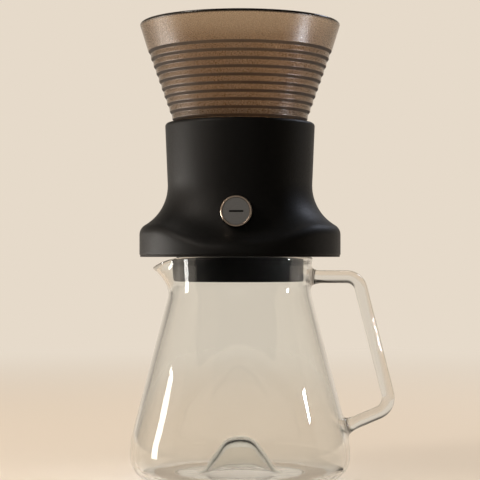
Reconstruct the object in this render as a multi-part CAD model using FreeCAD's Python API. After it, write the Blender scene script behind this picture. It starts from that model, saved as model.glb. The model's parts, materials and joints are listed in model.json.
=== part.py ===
import FreeCAD
import Part
import math
import os

# Pour-over coffee dripper with a steep-and-release valve, standing on its glass carafe.
# Millimetres. The origin is on the table under the carafe's centre, +Z is up and the knob faces -Y.
# Everything above the glass is built from its own zero, the level of the glass rim, and lifted last.

Vector = FreeCAD.Vector
UP = Vector(0, 0, 1)
FRONT = Vector(0, -1, 0)
CENTRE = Vector(0, 0, 0)

# Glass carafe
carafe_height = 128.0
belly_radius = 63.7
belly_break_height = 20.8
belly_blend = 60.0
foot_corner = 13.0
foot_ring_inner = 37.0
foot_recess = 0.8
wall_lean = 14.7
rim_radius = 42.0
collar_lean = 3.7
neck_blend = 30.0
glass_wall = 2.6
punt_height = 24.0
punt_crown_radius = 13.0
punt_shoulder = 7.9
punt_foot_radius = 22.5
punt_foot_blend = 8.0
floor_thickness = 3.0
floor_overlap = 3.0

# Pouring spout, on -X
spout_start_below_rim = 18.6
spout_reach = 8.9
spout_half_angle = 34.0
spout_tip_drop = 5.6
spout_dip_length = 15.9
spout_flare_power = 1.4
spout_dip_share = 0.28

# How finely the lofted surfaces follow their formulas
carafe_section = 5.0
neck_section = 2.4
corner_sections = 5
neck_point_count = 48
housing_section = 2.6
housing_point_count = 40
rounding_sections = 4

# Handle, on +X, a bent glass rod
rod_radius = 3.7
handle_top_below_rim = 11.4
handle_reach = 27.0
handle_lean = 14.2
handle_low_corner_height = 41.4
handle_weld_height = 30.2
handle_bend_top = 8.5
handle_bend_low = 9.5
weld_flare = 1.7
weld_length = 4.5

# Stand: the black housing between the carafe and the cone
stand_height = 77.5
stand_wall = 2.6
stand_roof = 3.0
base_radius = 58.2
waist_inset = 1.55
waist_height = 41.3
top_edge_width = 4.8
cove_radius = 26.5
ridge_radius = 6.5
top_rounding = 2.0
scoop_depth = 9.6
front_angle = 270.0
scoop_flat_angle = 10.0
scoop_end_angle = 54.0
scoop_full_height = 14.0
scoop_end_height = 52.0

# Base plate under the housing
plate_thickness = 3.6
plate_lip = 1.2
plate_lip_inset = 0.8
slip = 0.3
spigot_gap = 1.7
spigot_wall = 2.4
spigot_depth = 14.0
rim_gasket_thickness = 1.2
rim_gasket_overhang = 1.6
rim_gap = 0.2

# Seat of the brewing cone in the mouth of the housing
mouth_gap = 0.9
seat_below_top = 6.1
seat_width = 2.8
seat_ring_depth = 9.0
seat_ring_wall = 2.2
seat_ring_flange = 5.0
seat_ring_edge = 0.8
cone_gap = 0.5
cone_gasket_thickness = 1.2
cone_gasket_gap = 0.2

# Brewing cone
cone_rise = 57.5
cone_rim_over_base = 0.0
cone_lean = 19.57
cone_wall = 2.4
lip_rounding = 0.8
band_height = 16.2
rib_count = 10
rib_pitch = 4.34
rib_face = 2.7
rib_step = 1.3
rib_rounding = 0.6
cone_floor = 2.4
cone_floor_gap = 1.4
outlet_radius = 4.5
outlet_wall = 2.0
outlet_engagement = 4.4
plate_ledge = 1.3
plate_ledge_height = 4.6
floor_fall = 0.7
floor_outer_rounding = 1.2
floor_inner_rounding = 0.8
band_blend = 6.0

# Filter plate on the ledge inside the cone
filter_thickness = 0.8
filter_hole_radius = 0.8
filter_plain_rim = 2.0
filter_ring_pitch = 3.6

# Valve body, on the knob's axis
knob_height = 25.1
plug_radius = 8.95
running_gap = 0.08
plug_front = 20.0
plug_rear = 9.7
barrel_wall = 2.6
barrel_end_wall = 3.0
seal_wall = 1.8
port_web = 1.8
socket_depth = 5.0
socket_wall = 2.0
flange_radius = 21.0
flange_thickness = 3.0
ear_flange_radius = 15.0
ear_flange_thickness = 3.0
gland_length = 4.8
gland_flange = 2.0
o_ring_section = 0.7
front_o_ring_at = 14.6
rear_o_ring_at = 7.4
stem_radius = 4.0
stem_in_plug = 8.0
stem_below_face = 6.4
stem_flat = 1.0
stem_flat_length = 7.0
stop_inner = 5.4
stop_outer = 7.6
stop_width_angle = 24.0
stop_length = 1.4
stop_free_angle = 1.0
knob_travel = 90.0

# Drip nozzle
nozzle_wall = 1.9
nozzle_flange_radius = 10.0
nozzle_flange_thickness = 1.2
nozzle_drop = 7.0
nozzle_outer_rounding = 0.8
nozzle_inner_rounding = 0.4

# Knob
knob_radius = 8.65
knob_proud = 7.7
knob_length = 13.0
knob_hole_gap = 0.5
bezel_width = 1.15
bezel_length = 3.8
bezel_bevel = 0.45
face_recess = 0.3
face_thickness = 1.2
dash_length = 8.4
dash_width = 1.2
dash_depth = 0.5

# Screws
screw_gap = 0.05
base_screw_radius = 1.5
base_head_radius = 2.8
base_head_height = 1.9
base_screw_length = 10.0
base_screw_count = 4
boss_radius = 4.0
valve_screw_radius = 1.25
valve_head_radius = 2.4
valve_head_height = 1.6
valve_screw_circle = 17.0
valve_screw_grip = 2.4
valve_screw_count = 4
gland_screw_radius = 1.0
gland_head_radius = 1.8
gland_head_height = 1.3
gland_screw_circle = 12.9
gland_screw_count = 3
knob_screw_radius = 1.25
knob_head_radius = 2.3
knob_head_height = 1.4
knob_screw_length = 8.0


def tan(degrees):
    return math.tan(math.radians(degrees))


def sin(degrees):
    return math.sin(math.radians(degrees))


def cos(degrees):
    return math.cos(math.radians(degrees))


# Places that several pieces share

bore_radius = plug_radius + running_gap
barrel_radius = bore_radius + barrel_wall
barrel_front = plug_front + gland_length
barrel_top = knob_height + barrel_radius
socket_top = barrel_top + socket_depth
nipple_radius = outlet_radius + outlet_wall
seal_radius = outlet_radius + seal_wall
cone_bottom = socket_top + cone_floor_gap
cone_floor_top = cone_bottom + cone_floor
cone_rim = stand_height + cone_rise
seat_height = stand_height - seat_below_top
roof_height = stand_height - stand_roof
gasket_radius = rim_radius + rim_gasket_overhang
gasket_roof = rim_gap + rim_gasket_thickness
plate_radius = base_radius - stand_wall - slip
nozzle_radius = outlet_radius + nozzle_wall
spigot_radius = rim_radius - glass_wall - spigot_depth * tan(collar_lean) - spigot_gap
base_screw_circle = (gasket_radius + slip + plate_radius) / 2
cone_rim_radius = base_radius + cone_rim_over_base
head_recess = base_head_height + rim_gap


def cone_radius(height):
    """Mean outer radius of the brewing cone at a height above the glass rim."""
    return cone_rim_radius - (cone_rim - height) * tan(cone_lean)


def cone_inner_radius(height):
    return cone_radius(height) - rib_step / 2 - cone_wall


seat_radius = cone_radius(stand_height)
mouth_radius = seat_radius + mouth_gap
top_radius = mouth_radius + top_edge_width
waist_radius = top_radius - waist_inset


# Outlines and simple solids

def rounded_corner(before, corner, after, radius):
    """The two tangent points of a rounded corner and the middle of its arc."""
    back = (before - corner).normalize()
    on = (after - corner).normalize()
    half = back.getAngle(on) / 2
    reach = radius / math.tan(half)
    middle = (back + on).normalize()
    centre = corner + middle * (radius / math.sin(half))
    return corner + back * reach, centre - middle * radius, corner + on * reach


def closed_wire(corners, place):
    """A closed wire of lines and arcs from (across, up, rounding) corners."""
    points = [place(across, up) for across, up, _ in corners]
    count = len(points)
    bends = []
    for i, (_, _, rounding) in enumerate(corners):
        if rounding:
            bends.append(rounded_corner(points[i - 1], points[i], points[(i + 1) % count], rounding))
        else:
            bends.append((points[i], None, points[i]))
    edges = []
    for i, (start, middle, end) in enumerate(bends):
        if middle is not None:
            edges.append(Part.Arc(start, middle, end).toShape())
        following = bends[(i + 1) % count][0]
        if (following - end).Length > 1e-6:
            edges.append(Part.LineSegment(end, following).toShape())
    return Part.Wire(edges)


def turned(corners):
    """The solid of revolution about Z of an outline of (radius, height, rounding) corners."""
    face = Part.Face(closed_wire(corners, lambda across, up: Vector(across, 0, up)))
    return face.revolve(CENTRE, UP, 360)


def turned_front(corners):
    """The same about the knob's axis, from (radius, distance in front of the centre, rounding)."""
    face = Part.Face(closed_wire(corners, lambda across, out: Vector(across, -out, knob_height)))
    return face.revolve(Vector(0, 0, knob_height), FRONT, 360)


def rod_up(radius, low, high, x=0.0, y=0.0):
    return Part.makeCylinder(radius, high - low, Vector(x, y, low))


def tube_up(outer, inner, low, high):
    return rod_up(outer, low, high).cut(rod_up(inner, low, high))


def rod_front(radius, rear, front, x=0.0, z=0.0):
    """A cylinder along the knob's axis, or beside it, between two distances in front of the centre."""
    return Part.makeCylinder(radius, front - rear, Vector(x, -rear, knob_height + z), FRONT)


def tube_front(outer, inner, rear, front):
    return rod_front(outer, rear, front).cut(rod_front(inner, rear, front))


def around(radius, count, first_angle):
    """Equally spaced places on a circle."""
    step = 360.0 / count
    return [(radius * cos(first_angle + i * step), radius * sin(first_angle + i * step))
            for i in range(count)]


def smooth_step(value, start, end):
    share = min(1.0, max(0.0, (value - start) / (end - start)))
    return share * share * (3 - 2 * share)


def ring_wire(radius_at, height, count):
    """A closed level curve round the Z axis, its radius given by the angle from +X."""
    points = []
    for i in range(count):
        angle = 360.0 * i / count
        points.append(Vector(radius_at(angle) * cos(angle), radius_at(angle) * sin(angle), height))
    curve = Part.BSplineCurve()
    curve.interpolate(Points=points, PeriodicFlag=True, Parameters=[float(i) for i in range(count + 1)])
    return Part.Wire([curve.toShape()])


def lofted(radius_at, heights, count):
    """A solid through level curves at the given heights, its radius given by height and angle."""
    wires = [ring_wire(lambda angle: radius_at(height, angle), height, count) for height in heights]
    return Part.makeLoft(wires, True, False)


def evenly(low, high, spacing):
    """Heights from low up to, but without, high, about a spacing apart."""
    steps = max(1, round((high - low) / spacing))
    return [low + (high - low) * i / steps for i in range(steps)]


def quarter_turn(start, radius, steps):
    """Heights up a rounding of a quarter circle that starts level, an equal angle apart."""
    return [start + radius * (1 - cos(90.0 * i / steps)) for i in range(steps)]


def sector(inner, outer, rear, front, middle_angle, width_angle):
    """A block of a ring about the knob's axis, its angles seen from the front."""
    ring = tube_front(outer, inner, rear, front)
    low = middle_angle - width_angle / 2
    high = middle_angle + width_angle / 2
    reach = outer * 4
    corners = [Vector(0, -rear, knob_height)]
    for share in (0.0, 0.5, 1.0):
        angle = low + (high - low) * share
        corners.append(Vector(reach * cos(angle), -rear, knob_height + reach * sin(angle)))
    corners.append(corners[0])
    wedge = Part.Face(Part.makePolygon(corners)).extrude(FRONT * (front - rear))
    return ring.common(wedge)


# Glass carafe

def leaning_lines(inset):
    """Where the carafe's wall, moved in by inset, meets the belly and the collar."""
    belly = belly_radius - inset
    wall_shift = inset / cos(wall_lean)
    break_height = belly_break_height + (inset - wall_shift) / tan(wall_lean)
    collar_at_rim = rim_radius - inset / cos(collar_lean)
    gap = belly + break_height * tan(wall_lean) - collar_at_rim + carafe_height * tan(collar_lean)
    neck_height = gap / (tan(wall_lean) + tan(collar_lean))
    neck = belly - (neck_height - break_height) * tan(wall_lean)
    return belly, break_height, neck, neck_height, collar_at_rim


def wall_radius(height, inset):
    """Radius of the round carafe at a height: foot corner, belly, wall, neck blend, collar."""
    belly, break_height, neck, neck_height, collar_at_rim = leaning_lines(inset)
    belly_turn = belly_blend - inset
    belly_reach = belly_turn * tan(wall_lean / 2)
    neck_turn = neck_blend + inset
    neck_reach = neck_turn * tan((wall_lean + collar_lean) / 2)
    low = neck_height - neck_reach * cos(wall_lean)
    if height < foot_corner:
        corner = foot_corner - floor_thickness * inset / glass_wall
        return belly - corner + math.sqrt(max(0.0, corner ** 2 - (foot_corner - height) ** 2))
    if height < break_height - belly_reach:
        return belly
    if height < break_height + belly_reach * cos(wall_lean):
        up = height - (break_height - belly_reach)
        return belly - belly_turn + math.sqrt(belly_turn ** 2 - up ** 2)
    if height < low:
        return belly - (height - break_height) * tan(wall_lean)
    if height < neck_height + neck_reach * cos(collar_lean):
        centre_radius = neck + neck_reach * sin(wall_lean) + neck_turn * cos(wall_lean)
        centre_height = low + neck_turn * sin(wall_lean)
        return centre_radius - math.sqrt(neck_turn ** 2 - (height - centre_height) ** 2)
    return collar_at_rim - (carafe_height - height) * tan(collar_lean)


def spout_bulge(height, angle):
    """How far the spout stands out of the round neck at a height and an angle from +X."""
    start = carafe_height - spout_start_below_rim
    run = spout_start_below_rim - spout_tip_drop
    rise = max(0.0, (height - start) / run)
    share = 1 - smooth_step(abs(angle - 180.0), 0.0, spout_half_angle)
    return spout_reach * rise ** spout_flare_power * share


def carafe_filled(inset, bottom, top):
    """The carafe as a filled solid, its surface moved in by inset."""
    neck_low = carafe_height - spout_start_below_rim - carafe_section
    heights = quarter_turn(bottom, foot_corner - bottom, corner_sections)
    heights += evenly(foot_corner, belly_break_height + foot_corner, carafe_section / 2)
    heights += evenly(belly_break_height + foot_corner, neck_low, carafe_section * 2)
    heights += evenly(neck_low, top, neck_section) + [top]
    return lofted(lambda height, angle: wall_radius(height, inset) + spout_bulge(height, angle),
                  heights, neck_point_count)


def punt_outline(inset, foot_height):
    """Corners of the raised glass dome in the floor, from its centre out to its foot."""
    slope = math.atan2(punt_height - floor_thickness, punt_foot_radius - punt_shoulder)
    along = inset * math.tan(slope / 2)
    return [
        (0, punt_height - inset, 0),
        (punt_shoulder - along, punt_height - inset, punt_crown_radius - inset),
        (punt_foot_radius - along, foot_height, punt_foot_blend + inset),
    ]


def rim_dip():
    """Takes the rim down in a curve towards the tip of the spout."""
    tip = rim_radius + spout_reach
    start = tip - spout_dip_length
    beyond = tip + spout_reach
    clear = carafe_height + spout_tip_drop
    tip_height = carafe_height - spout_tip_drop
    dip = Part.Arc(
        Vector(-start, -rim_radius, carafe_height),
        Vector(-(start + tip) / 2, -rim_radius, carafe_height - spout_tip_drop * spout_dip_share),
        Vector(-tip, -rim_radius, tip_height),
    ).toShape()
    outside = Part.makePolygon([
        Vector(-tip, -rim_radius, tip_height),
        Vector(-beyond, -rim_radius, tip_height - spout_tip_drop),
        Vector(-beyond, -rim_radius, clear),
        Vector(-start, -rim_radius, clear),
        Vector(-start, -rim_radius, carafe_height),
    ])
    return Part.Face(Part.Wire([dip] + outside.Edges)).extrude(Vector(0, 2 * rim_radius, 0))


def carafe_glass():
    outside = carafe_filled(0.0, 0.0, carafe_height)
    inside = carafe_filled(glass_wall, floor_thickness, carafe_height + glass_wall)
    glass = outside.cut(inside)
    middle = floor_thickness / 2
    edge = foot_ring_inner + floor_overlap
    dome = turned(punt_outline(0.0, floor_thickness) + [(edge, floor_thickness, 0),
                                                        (edge, middle, 0),
                                                        (0, middle, 0)])
    below = turned(punt_outline(glass_wall, foot_recess) + [(foot_ring_inner, foot_recess, 0),
                                                            (foot_ring_inner, -foot_recess, 0),
                                                            (0, -foot_recess, 0)])
    return glass.fuse(dome).cut(below).cut(rim_dip()).removeSplitter()


def weld(end, direction):
    """The swelling where the rod is melted onto the wall, starting inside the glass."""
    inside = end - direction * weld_length
    return Part.makeCone(rod_radius + 2 * weld_flare, rod_radius, 2 * weld_length, inside, direction)


def carafe_handle():
    top = carafe_height - handle_top_below_rim
    wall_top = wall_radius(top, 0.0)
    outer_top = wall_top + handle_reach
    outer_low = outer_top + (top - handle_low_corner_height) * tan(handle_lean)
    wall_low = wall_radius(handle_weld_height, 0.0)
    top_weld = Vector(wall_top, 0, top)
    low_weld = Vector(wall_low, 0, handle_weld_height)
    top_corner = Vector(outer_top, 0, top)
    low_corner = Vector(outer_low, 0, handle_low_corner_height)
    start = Vector(wall_top - rod_radius, 0, top)
    finish = low_weld + (low_weld - low_corner).normalize() * rod_radius
    a, b, c = rounded_corner(start, top_corner, low_corner, handle_bend_top)
    d, e, f = rounded_corner(top_corner, low_corner, finish, handle_bend_low)
    path = Part.Wire([
        Part.LineSegment(start, a).toShape(),
        Part.Arc(a, b, c).toShape(),
        Part.LineSegment(c, d).toShape(),
        Part.Arc(d, e, f).toShape(),
        Part.LineSegment(f, finish).toShape(),
    ])
    section = Part.Wire([Part.makeCircle(rod_radius, start, Vector(1, 0, 0))])
    rod = path.makePipeShell([section], True, False)
    rod = rod.fuse(weld(top_weld, (top_corner - top_weld).normalize()))
    rod = rod.fuse(weld(low_weld, (low_corner - low_weld).normalize()))
    return rod.cut(carafe_filled(0.0, 0.0, carafe_height))


# Stand housing

def housing_profile(height):
    """Outer radius of the housing at a height, before the scoop is taken into account."""
    cove_centre = waist_radius + cove_radius
    ridge_centre = base_radius - ridge_radius
    apart = cove_radius + ridge_radius
    drop = math.sqrt(apart ** 2 - (cove_centre - ridge_centre) ** 2)
    ridge_height = waist_height - drop
    meet = ridge_height + drop * ridge_radius / apart
    lean = (top_radius - waist_radius) / (stand_height - waist_height)
    tangent = waist_height + cove_radius * lean / math.sqrt(1 + lean ** 2)
    if height <= ridge_height:
        return base_radius
    if height <= meet:
        return ridge_centre + math.sqrt(ridge_radius ** 2 - (height - ridge_height) ** 2)
    if height <= tangent:
        return cove_centre - math.sqrt(cove_radius ** 2 - (height - waist_height) ** 2)
    tangent_radius = cove_centre - math.sqrt(cove_radius ** 2 - (tangent - waist_height) ** 2)
    return tangent_radius + (height - tangent) * lean


def scooped_radius(height, angle):
    """Outer radius of the housing at a height and an angle from +X, dipped below the knob."""
    off_front = abs((angle - front_angle + 180.0) % 360.0 - 180.0)
    depth = scoop_depth * (1 - smooth_step(off_front, scoop_flat_angle, scoop_end_angle))
    share = 1 - smooth_step(height, scoop_full_height, scoop_end_height)
    return housing_profile(height + depth * share)


knob_face_at = scooped_radius(knob_height, front_angle) + knob_proud
knob_rear_at = knob_face_at - knob_length
stem_front = knob_face_at - stem_below_face


def housing_filled(inset, bottom, top, rounding):
    """The housing as a filled solid, its sides moved in by inset and its top edge rounded."""
    def radius_at(height, angle):
        above = max(0.0, height - (top - rounding))
        cut_back = rounding - math.sqrt(max(0.0, rounding ** 2 - above ** 2))
        return scooped_radius(height, angle) - inset - cut_back

    start = top - rounding
    heights = evenly(bottom, scoop_end_height, housing_section)
    heights += evenly(scoop_end_height, start - housing_section, housing_section * 2)
    heights += evenly(start - housing_section, start, housing_section / 3)
    if rounding:
        heights += [start + rounding * sin(90.0 * i / rounding_sections) for i in range(rounding_sections)]
    return lofted(radius_at, heights + [top], housing_point_count)


def base_screw_places():
    return around(base_screw_circle, base_screw_count, 45.0)


def housing_shell():
    outside = housing_filled(0.0, plate_lip, stand_height, top_rounding)
    inside = housing_filled(stand_wall, -plate_thickness, roof_height, 0)
    shell = outside.cut(inside)
    for x, y in base_screw_places():
        shell = shell.fuse(rod_up(boss_radius, plate_thickness, waist_height, x, y).common(outside))
    for x, y in base_screw_places():
        pilot_top = head_recess + base_screw_length + slip
        shell = shell.cut(rod_up(base_screw_radius + screw_gap, plate_thickness, pilot_top, x, y))
    shell = shell.cut(rod_up(mouth_radius, seat_height, stand_height + top_rounding))
    knob_hole = rod_front(knob_radius + knob_hole_gap, barrel_front + gland_flange, base_radius)
    return shell.cut(knob_hole)


def valve_screw_places():
    return around(valve_screw_circle, valve_screw_count, 45.0)


def base_plate():
    plate = rod_up(plate_radius, 0, plate_thickness)
    plate = plate.fuse(rod_up(base_radius - plate_lip_inset, 0, plate_lip))
    groove = tube_up(gasket_radius + slip, spigot_radius, 0, gasket_roof)
    plate = plate.cut(groove)
    plate = plate.fuse(tube_up(spigot_radius, spigot_radius - spigot_wall, -spigot_depth, gasket_roof))
    plate = plate.cut(rod_up(nozzle_radius + running_gap, 0, plate_thickness))
    seat = plate_thickness - nozzle_flange_thickness
    plate = plate.cut(rod_up(nozzle_flange_radius + running_gap, seat, plate_thickness))
    for x, y in base_screw_places():
        plate = plate.cut(rod_up(base_screw_radius + screw_gap, 0, plate_thickness, x, y))
        plate = plate.cut(rod_up(base_head_radius + slip, 0, head_recess, x, y))
    for x, y in valve_screw_places():
        low = plate_thickness - valve_screw_grip
        plate = plate.cut(rod_up(valve_screw_radius + screw_gap, low, plate_thickness, x, y))
    return plate


def rim_gasket():
    return tube_up(gasket_radius, spigot_radius + running_gap, rim_gap, gasket_roof)


def base_screws():
    screws = []
    for x, y in base_screw_places():
        head = rod_up(base_head_radius, rim_gap, head_recess, x, y)
        shank = rod_up(base_screw_radius, rim_gap, head_recess + base_screw_length, x, y)
        screws.append(head.fuse(shank))
    return Part.makeCompound(screws)


def gasket_seat():
    """Height of the ledge that carries the cone's gasket."""
    return seat_height - cone_gasket_gap - cone_gasket_thickness


def cone_seat():
    ledge = gasket_seat()
    bottom = ledge - seat_ring_depth
    inner = seat_radius - seat_width
    outer = housing_profile(ledge - seat_ring_flange) - stand_wall - slip
    return turned([
        (inner, bottom, 0),
        (inner + seat_ring_wall, bottom, 0),
        (inner + seat_ring_wall, ledge - seat_ring_flange, seat_ring_edge),
        (outer, ledge - seat_ring_flange, seat_ring_edge),
        (outer, roof_height, 0),
        (seat_radius + cone_gap, roof_height, 0),
        (seat_radius + cone_gap, ledge, 0),
        (inner, ledge, 0),
    ])


def cone_gasket():
    low = gasket_seat()
    return tube_up(seat_radius, seat_radius - seat_width + slip, low, low + cone_gasket_thickness)


# Brewing cone

def rib_corners():
    """The outside of the terraced wall, from the plain band down."""
    corners = []
    face_lean = (rib_pitch * tan(cone_lean) - rib_step)
    top = cone_rim - band_height
    for i in range(rib_count):
        shelf = top - rib_pitch * i
        outer = cone_radius(shelf) + rib_step / 2
        inner = outer - rib_step
        step_rise = rib_pitch - rib_face
        corners.append((outer, shelf, rib_rounding))
        corners.append((inner, shelf - step_rise, rib_rounding))
        last = (inner - face_lean, shelf - rib_pitch)
    return corners, last


def brew_cone():
    ribs, last = rib_corners()
    floor_outer = cone_radius(cone_bottom) - rib_step / 2
    floor_inner = cone_inner_radius(cone_floor_top) - plate_ledge
    plate_level = cone_floor_top + plate_ledge_height
    lip_inner = cone_rim_radius - cone_wall
    outside = [(cone_rim_radius, cone_rim, lip_rounding)] + ribs
    outside += [
        (seat_radius, last[1], 0),
        (seat_radius, seat_height, 0),
        (cone_radius(seat_height) - rib_step / 2, seat_height, 0),
        (floor_outer, cone_bottom, floor_outer_rounding),
        (nipple_radius, cone_bottom, 0),
        (nipple_radius, cone_bottom - cone_floor_gap - outlet_engagement, 0),
        (outlet_radius, cone_bottom - cone_floor_gap - outlet_engagement, 0),
    ]
    inside = [
        (outlet_radius, cone_floor_top - floor_fall, 0),
        (floor_inner, cone_floor_top, floor_inner_rounding),
        (cone_inner_radius(plate_level) - plate_ledge, plate_level, 0),
        (cone_inner_radius(plate_level), plate_level, 0),
        (cone_inner_radius(cone_rim - band_height), cone_rim - band_height, band_blend),
        (lip_inner, cone_rim, lip_rounding),
    ]
    cone = turned(outside + inside)
    groove = o_ring_height()
    depth = 2 * o_ring_section - running_gap
    low = groove - o_ring_section
    return cone.cut(tube_up(nipple_radius + slip, nipple_radius - depth, low, low + 2 * o_ring_section))


def o_ring_height():
    return socket_top - outlet_engagement / 2


def outlet_o_ring():
    middle = nipple_radius + running_gap - o_ring_section
    return Part.makeTorus(middle, o_ring_section, Vector(0, 0, o_ring_height()))


def filter_level():
    return cone_floor_top + plate_ledge_height


def filter_plate():
    low = filter_level()
    high = low + filter_thickness
    radius = cone_inner_radius(low) - slip
    plate = rod_up(radius, low, high)
    holes = [rod_up(filter_hole_radius, low, high)]
    rings = int((radius - filter_plain_rim) / filter_ring_pitch)
    for ring in range(1, rings + 1):
        for x, y in around(ring * filter_ring_pitch, 6 * ring, 0.0):
            holes.append(rod_up(filter_hole_radius, low, high, x, y))
    return plate.cut(Part.makeCompound(holes))


# Valve

def gland_screw_places():
    return around(gland_screw_circle, gland_screw_count, 90.0)


def valve_barrel():
    rear = plug_rear + running_gap
    barrel = rod_front(barrel_radius, -rear - barrel_end_wall, barrel_front)
    barrel = barrel.fuse(rod_front(ear_flange_radius, barrel_front - ear_flange_thickness, barrel_front))
    barrel = barrel.fuse(rod_up(seal_radius + port_web, plate_thickness, knob_height))
    barrel = barrel.fuse(rod_up(flange_radius, plate_thickness, plate_thickness + flange_thickness))
    socket_radius = nipple_radius + 2 * running_gap
    barrel = barrel.fuse(rod_up(socket_radius + socket_wall, knob_height, socket_top))
    barrel = barrel.cut(rod_up(socket_radius, barrel_top, socket_top))
    barrel = barrel.cut(rod_up(outlet_radius, 0, barrel_top))
    for low, high in seal_heights():
        barrel = barrel.cut(rod_up(seal_radius, low, high))
    barrel = barrel.cut(rod_front(bore_radius, -rear, barrel_front))
    for x, y in valve_screw_places():
        barrel = barrel.cut(rod_up(valve_screw_radius + screw_gap, plate_thickness,
                                   plate_thickness + flange_thickness, x, y))
    for x, z in gland_screw_places():
        barrel = barrel.cut(rod_front(gland_screw_radius + screw_gap,
                                      barrel_front - ear_flange_thickness, barrel_front, x, z))
    return barrel


def seal_heights():
    """Lowest and highest point of the seals below and above the plug."""
    bottom = knob_height - barrel_radius
    return (bottom, knob_height), (knob_height, barrel_top)


def port_seal(low, high):
    seal = tube_up(seal_radius, outlet_radius, low, high)
    return seal.cut(rod_front(bore_radius, -barrel_radius, barrel_radius))


def stop_sector(extra_angle, gap, rear, front, travel):
    """A block about the stop's middle angle, at the top of the valve."""
    return sector(stop_inner - gap, stop_outer + gap, rear, front, 90.0,
                  stop_width_angle + travel + 2 * extra_angle)


def stem_gland():
    rear = plug_front + running_gap
    gland = tube_front(bore_radius, stem_radius + running_gap, rear, barrel_front)
    gland = gland.fuse(tube_front(ear_flange_radius, stem_radius + running_gap,
                                  barrel_front, barrel_front + gland_flange))
    slot = stop_sector(stop_free_angle, slip, rear, rear + stop_length + slip, knob_travel)
    gland = gland.cut(slot)
    for x, z in gland_screw_places():
        gland = gland.cut(rod_front(gland_screw_radius + screw_gap, barrel_front,
                                    barrel_front + gland_flange, x, z))
    return gland


def gland_screws():
    screws = []
    seat = barrel_front + gland_flange
    for x, z in gland_screw_places():
        shank = rod_front(gland_screw_radius, barrel_front - ear_flange_thickness, seat, x, z)
        screws.append(shank.fuse(rod_front(gland_head_radius, seat, seat + gland_head_height, x, z)))
    return Part.makeCompound(screws)


def valve_screws():
    screws = []
    seat = plate_thickness + flange_thickness
    for x, y in valve_screw_places():
        shank = rod_up(valve_screw_radius, plate_thickness - valve_screw_grip, seat, x, y)
        screws.append(shank.fuse(rod_up(valve_head_radius, seat, seat + valve_head_height, x, y)))
    return Part.makeCompound(screws)


def groove_radius():
    return plug_radius - 2 * o_ring_section + running_gap


def valve_plug():
    plug = rod_front(plug_radius, -plug_rear, plug_front)
    left = Vector(-plug_radius, 0, knob_height)
    plug = plug.cut(Part.makeCylinder(outlet_radius, 2 * plug_radius, left, Vector(1, 0, 0)))
    for place in (front_o_ring_at, -rear_o_ring_at):
        low = place - o_ring_section
        plug = plug.cut(tube_front(bore_radius, groove_radius(), low, low + 2 * o_ring_section))
    plug = plug.cut(stem_solid())
    lug = sector(stop_inner, stop_outer, plug_front, plug_front + stop_length,
                 90.0 + knob_travel / 2, stop_width_angle)
    return plug.fuse(lug)


def plug_o_rings():
    middle = groove_radius() + o_ring_section
    rings = []
    for place in (front_o_ring_at, -rear_o_ring_at):
        rings.append(Part.makeTorus(middle, o_ring_section, Vector(0, -place, knob_height), FRONT))
    return Part.makeCompound(rings)


def stem_flats():
    """What is ground off the stem's two ends, so that the plug and the knob can't slip."""
    far = 4 * stem_radius
    low = knob_height + stem_radius - stem_flat
    front = Part.makeBox(far, stem_flat_length, far, Vector(-far / 2, -stem_front, low))
    back_length = stem_in_plug / 2
    back_end = plug_front - stem_in_plug + back_length
    back = Part.makeBox(far, back_length, far, Vector(-far / 2, -back_end, low))
    return front.fuse(back)


def stem_solid():
    return rod_front(stem_radius, plug_front - stem_in_plug, stem_front).cut(stem_flats())


def core_front():
    return knob_face_at - face_recess - face_thickness


def valve_stem():
    return stem_solid().cut(rod_front(knob_screw_radius, stem_front - knob_screw_length, stem_front))


def drip_nozzle():
    top = plate_thickness
    seat = top - nozzle_flange_thickness
    return turned([
        (outlet_radius, top, 0),
        (nozzle_flange_radius, top, 0),
        (nozzle_flange_radius, seat, 0),
        (nozzle_radius, seat, 0),
        (nozzle_radius, -nozzle_drop, nozzle_outer_rounding),
        (outlet_radius, -nozzle_drop, nozzle_inner_rounding),
    ])


# Knob

def knob_core():
    shoulder = knob_face_at - bezel_length
    core = rod_front(knob_radius, knob_rear_at, shoulder)
    core = core.fuse(rod_front(knob_radius - bezel_width, shoulder, core_front()))
    core = core.cut(stem_solid())
    pocket = core_front() - knob_head_height
    core = core.cut(rod_front(knob_head_radius + screw_gap, pocket, core_front()))
    return core.cut(rod_front(knob_screw_radius + screw_gap, stem_front, pocket))


def knob_screw():
    seat = core_front() - knob_head_height
    shank = rod_front(knob_screw_radius, stem_front - knob_screw_length, seat)
    return shank.fuse(rod_front(knob_head_radius, seat, core_front()))


def knob_bezel():
    shoulder = knob_face_at - bezel_length
    inner = knob_radius - bezel_width
    return turned_front([
        (inner, shoulder, 0),
        (knob_radius, shoulder, 0),
        (knob_radius, knob_face_at - bezel_bevel, 0),
        (knob_radius - bezel_bevel, knob_face_at, 0),
        (inner + bezel_bevel / 2, knob_face_at, 0),
        (inner, knob_face_at - bezel_bevel / 2, 0),
    ])


def dash_solid():
    front = knob_face_at - face_recess
    half = (dash_length - dash_width) / 2
    corner = Vector(-half, -front, knob_height - dash_width / 2)
    bar = Part.makeBox(2 * half, dash_depth, dash_width, corner)
    for x in (-half, half):
        bar = bar.fuse(rod_front(dash_width / 2, front - dash_depth, front, x))
    return bar.removeSplitter()


def knob_face():
    front = knob_face_at - face_recess
    disc = rod_front(knob_radius - bezel_width, core_front(), front)
    return disc.cut(dash_solid())


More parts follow.
